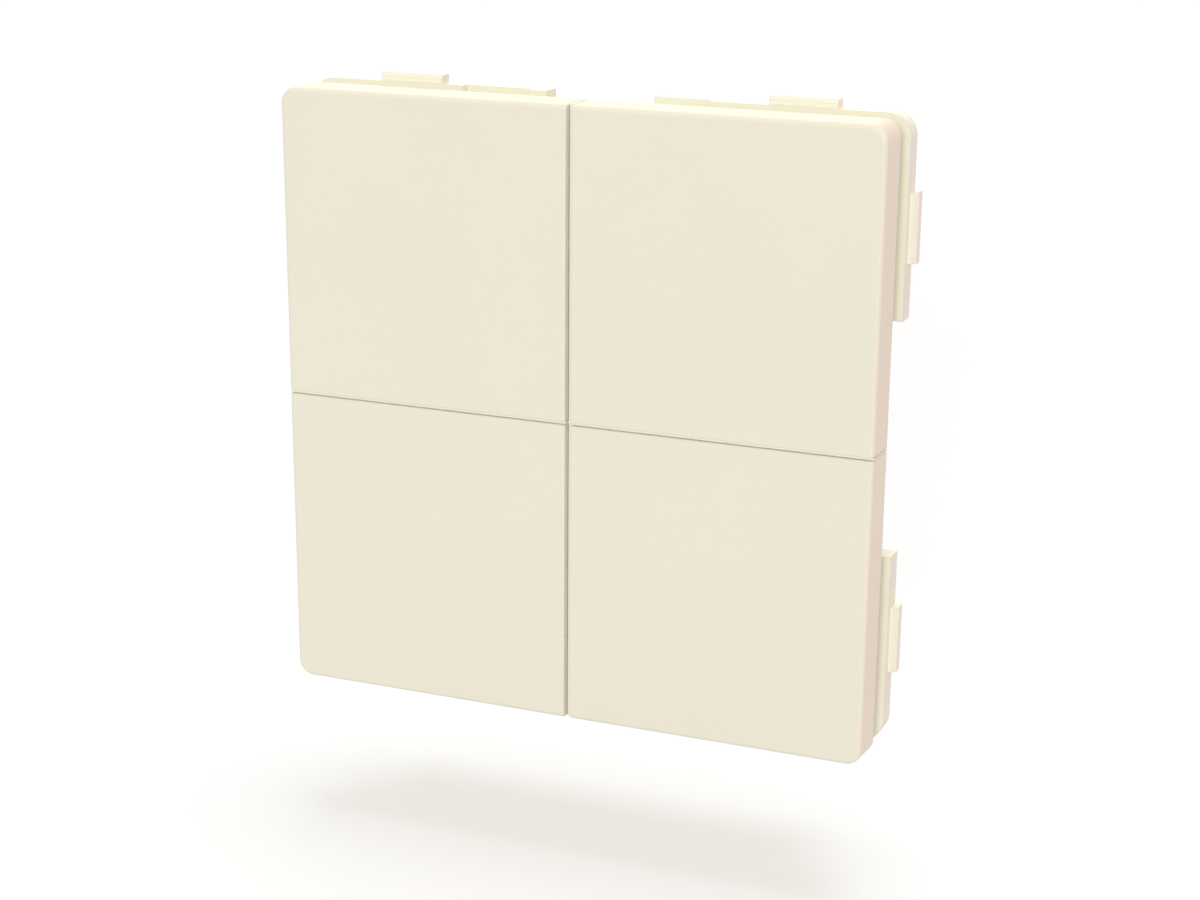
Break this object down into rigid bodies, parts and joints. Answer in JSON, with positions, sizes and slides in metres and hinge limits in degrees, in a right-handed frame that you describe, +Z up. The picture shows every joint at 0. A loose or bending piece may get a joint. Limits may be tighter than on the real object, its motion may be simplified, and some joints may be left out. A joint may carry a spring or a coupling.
{
  "type": "wall switch",
  "caption": "Square wall switch with four large rocking keys on a snap-in flange frame, with a battery-powered radio unit in the housing behind.",
  "frame": {"origin": "centre of the rear housing's back face, which lies against the wall", "axes": "+Y into the wall, so the keys face -Y; +Z up; +X to the right seen from the front"},
  "size_m": [0.0568, 0.0166, 0.0568],
  "materials": {
    "key_plastic": "fine satin moulded surface, cream",
    "frame_plastic": "satin moulded surface, cream",
    "housing_plastic": "lightly sparked moulded surface, cream",
    "screw_steel": "zinc plated",
    "board_laminate": "solder mask over glass laminate",
    "cell_steel": "nickel plated",
    "holder_plastic": "black moulded",
    "contact_metal": "spring sheet, plated",
    "switch_plastic": "black moulded",
    "plunger_plastic": "dark grey moulded",
    "cover_steel": "tinned sheet steel",
    "radio_laminate": "blue solder mask",
    "antenna_ceramic": "white ceramic",
    "capacitor_ceramic": "tan ceramic with tinned ends"
  },
  "bodies": {
    "switch_body": {"key_frame": "frame_plastic", "rear_housing": "housing_plastic", "housing_screws": "screw_steel", "circuit_board": "board_laminate", "coin_cell": "cell_steel", "battery_holder": "holder_plastic", "battery_positive_clip": "contact_metal", "battery_negative_contact": "contact_metal", "switch_base_top_left": "switch_plastic", "switch_cover_top_left": "cover_steel", "switch_base_top_right": "switch_plastic", "switch_cover_top_right": "cover_steel", "switch_base_bottom_left": "switch_plastic", "switch_cover_bottom_left": "cover_steel", "switch_base_bottom_right": "switch_plastic", "switch_cover_bottom_right": "cover_steel", "pairing_switch_base": "switch_plastic", "pairing_switch_cover": "cover_steel", "radio_board": "radio_laminate", "radio_shield": "cover_steel", "chip_antenna": "antenna_ceramic", "clock_crystal": "cover_steel", "capacitors": "capacitor_ceramic"},
    "key_top_left": {"key_top_left": "key_plastic"},
    "switch_plunger_top_left": {"switch_plunger_top_left": "switch_plastic"},
    "key_top_right": {"key_top_right": "key_plastic"},
    "switch_plunger_top_right": {"switch_plunger_top_right": "switch_plastic"},
    "key_bottom_left": {"key_bottom_left": "key_plastic"},
    "switch_plunger_bottom_left": {"switch_plunger_bottom_left": "switch_plastic"},
    "key_bottom_right": {"key_bottom_right": "key_plastic"},
    "switch_plunger_bottom_right": {"switch_plunger_bottom_right": "switch_plastic"},
    "pairing_switch_plunger": {"pairing_switch_plunger": "plunger_plastic"},
    "battery_cover": {"battery_cover": "housing_plastic"}
  },
  "joints": [
    {"name": "key_top_left_press", "type": "hinge", "parent": "switch_body", "child": "key_top_left", "pos_m": [0, -0.0134, 0.0032], "axis": [-1, 0, 0], "range_deg": [0, 1.6], "stiffness_Nm_per_rad": 0.6},
    {"name": "switch_plunger_top_left_travel", "type": "slide", "parent": "switch_body", "child": "switch_plunger_top_left", "axis": [0, 1, 0], "range_m": [0, 0.00031]},
    {"name": "key_top_right_press", "type": "hinge", "parent": "switch_body", "child": "key_top_right", "pos_m": [0, -0.0134, 0.0032], "axis": [-1, 0, 0], "range_deg": [0, 1.6], "stiffness_Nm_per_rad": 0.6},
    {"name": "switch_plunger_top_right_travel", "type": "slide", "parent": "switch_body", "child": "switch_plunger_top_right", "axis": [0, 1, 0], "range_m": [0, 0.00031]},
    {"name": "key_bottom_left_press", "type": "hinge", "parent": "switch_body", "child": "key_bottom_left", "pos_m": [0, -0.0134, -0.0032], "axis": [1, 0, 0], "range_deg": [0, 1.6], "stiffness_Nm_per_rad": 0.6},
    {"name": "switch_plunger_bottom_left_travel", "type": "slide", "parent": "switch_body", "child": "switch_plunger_bottom_left", "axis": [0, 1, 0], "range_m": [0, 0.00031]},
    {"name": "key_bottom_right_press", "type": "hinge", "parent": "switch_body", "child": "key_bottom_right", "pos_m": [0, -0.0134, -0.0032], "axis": [1, 0, 0], "range_deg": [0, 1.6], "stiffness_Nm_per_rad": 0.6},
    {"name": "switch_plunger_bottom_right_travel", "type": "slide", "parent": "switch_body", "child": "switch_plunger_bottom_right", "axis": [0, 1, 0], "range_m": [0, 0.00031]},
    {"name": "pairing_button_press", "type": "slide", "parent": "switch_body", "child": "pairing_switch_plunger", "axis": [0, -1, 0], "range_m": [0, 0.00025], "stiffness_N_per_m": 500},
    {"name": "battery_cover_turn", "type": "hinge", "parent": "switch_body", "child": "battery_cover", "pos_m": [0, 0, 0], "axis": [0, 1, 0], "range_deg": [0, 30]}
  ],
  "couplings": [
    {"joint": "switch_plunger_top_left_travel", "follows": "key_top_left_press", "m_per_rad": 0.0108},
    {"joint": "switch_plunger_top_right_travel", "follows": "key_top_right_press", "m_per_rad": 0.0108},
    {"joint": "switch_plunger_bottom_left_travel", "follows": "key_bottom_left_press", "m_per_rad": 0.0108},
    {"joint": "switch_plunger_bottom_right_travel", "follows": "key_bottom_right_press", "m_per_rad": 0.0108}
  ]
}
